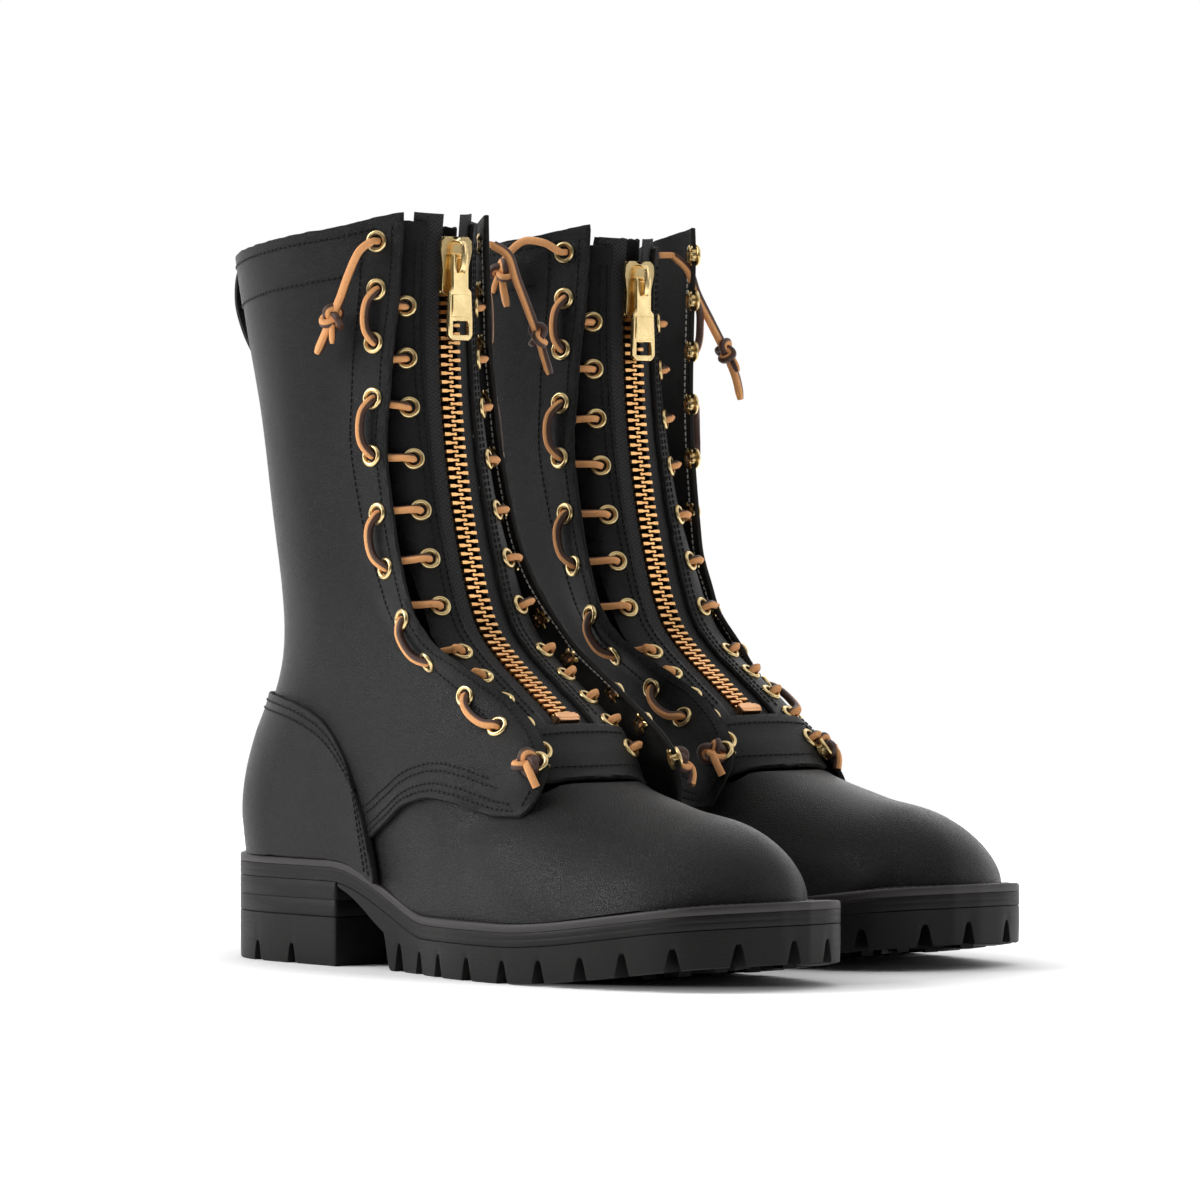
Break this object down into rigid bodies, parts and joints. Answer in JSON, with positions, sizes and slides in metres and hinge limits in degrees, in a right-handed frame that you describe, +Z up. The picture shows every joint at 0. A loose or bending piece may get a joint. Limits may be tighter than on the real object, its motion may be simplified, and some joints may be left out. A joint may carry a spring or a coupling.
{
  "type": "fire boots",
  "caption": "Pair of tall black leather lug-sole boots with a lace-in brass zip down each front, leather laces and a stitched heel counter.",
  "frame": {"origin": "on the floor, under the middle of the pair's bounding box without the hanging lace ends", "axes": "+X towards the toes, +Y to the wearer's left, +Z up"},
  "size_m": [0.3702, 0.25, 0.2969],
  "materials": {
    "leather": "oiled, satin",
    "welt_leather": "rough edge, stitched",
    "lining_leather": "bare, matte",
    "rubber": "moulded, matte",
    "spring_steel": "bare",
    "brass": "polished",
    "zip_tape": "woven",
    "lace_leather": "cut rawhide, two-tone"
  },
  "bodies": {
    "right_boot": {"right_outsole": "rubber", "right_heel_lift": "rubber", "right_heel_base": "rubber", "right_midsole": "rubber", "right_welt": "welt_leather", "right_insole": "lining_leather", "right_shank": "spring_steel", "right_vamp": "leather", "right_toe_box": "lining_leather", "right_heel_counter": "leather", "right_counter_stiffener": "lining_leather", "right_lateral_quarter": "leather", "right_medial_quarter": "leather", "right_backstay": "leather", "right_pull_loop": "leather", "right_tongue": "leather", "right_lateral_zip_panel": "leather", "right_medial_zip_panel": "leather", "right_zip_base_tab": "leather", "right_lateral_zip_tape": "zip_tape", "right_medial_zip_tape": "zip_tape", "right_lateral_zip_teeth": "brass", "right_medial_zip_teeth": "brass", "right_zip_bottom_stop": "brass", "right_lateral_lace": "lace_leather", "right_medial_lace": "lace_leather", "right_lateral_lace_tail": "lace_leather", "right_medial_lace_tail": "lace_leather"},
    "right_slider": {"right_zip_slider": "brass"},
    "right_pull": {"right_zip_pull": "brass"},
    "left_boot": {"left_outsole": "rubber", "left_heel_lift": "rubber", "left_heel_base": "rubber", "left_midsole": "rubber", "left_welt": "welt_leather", "left_insole": "lining_leather", "left_shank": "spring_steel", "left_vamp": "leather", "left_toe_box": "lining_leather", "left_heel_counter": "leather", "left_counter_stiffener": "lining_leather", "left_lateral_quarter": "leather", "left_medial_quarter": "leather", "left_backstay": "leather", "left_pull_loop": "leather", "left_tongue": "leather", "left_lateral_zip_panel": "leather", "left_medial_zip_panel": "leather", "left_zip_base_tab": "leather", "left_lateral_zip_tape": "zip_tape", "left_medial_zip_tape": "zip_tape", "left_lateral_zip_teeth": "brass", "left_medial_zip_teeth": "brass", "left_zip_bottom_stop": "brass", "left_lateral_lace": "lace_leather", "left_medial_lace": "lace_leather", "left_lateral_lace_tail": "lace_leather", "left_medial_lace_tail": "lace_leather"},
    "left_slider": {"left_zip_slider": "brass"},
    "left_pull": {"left_zip_pull": "brass"}
  },
  "joints": [
    {"name": "right_zip_run", "type": "hinge", "parent": "right_boot", "child": "right_slider", "pos_m": [0.30313, -0.067, 0.25], "axis": [0, 1, 0], "range_deg": [-18, 0]},
    {"name": "right_pull_flip", "type": "hinge", "parent": "right_slider", "child": "right_pull", "pos_m": [-0.00975, -0.067, 0.27804], "axis": [0, -1, 0], "range_deg": [-6, 150]},
    {"name": "left_zip_run", "type": "hinge", "parent": "left_boot", "child": "left_slider", "pos_m": [0.25813, 0.067, 0.25], "axis": [0, 1, 0], "range_deg": [-18, 0]},
    {"name": "left_pull_flip", "type": "hinge", "parent": "left_slider", "child": "left_pull", "pos_m": [-0.05518, 0.067, 0.27264], "axis": [0, -1, 0], "range_deg": [-6, 150]},
    {"name": "left_boot_lift", "type": "slide", "parent": "right_boot", "child": "left_boot", "axis": [0, 0, 1], "range_m": [0, 0.35]}
  ]
}
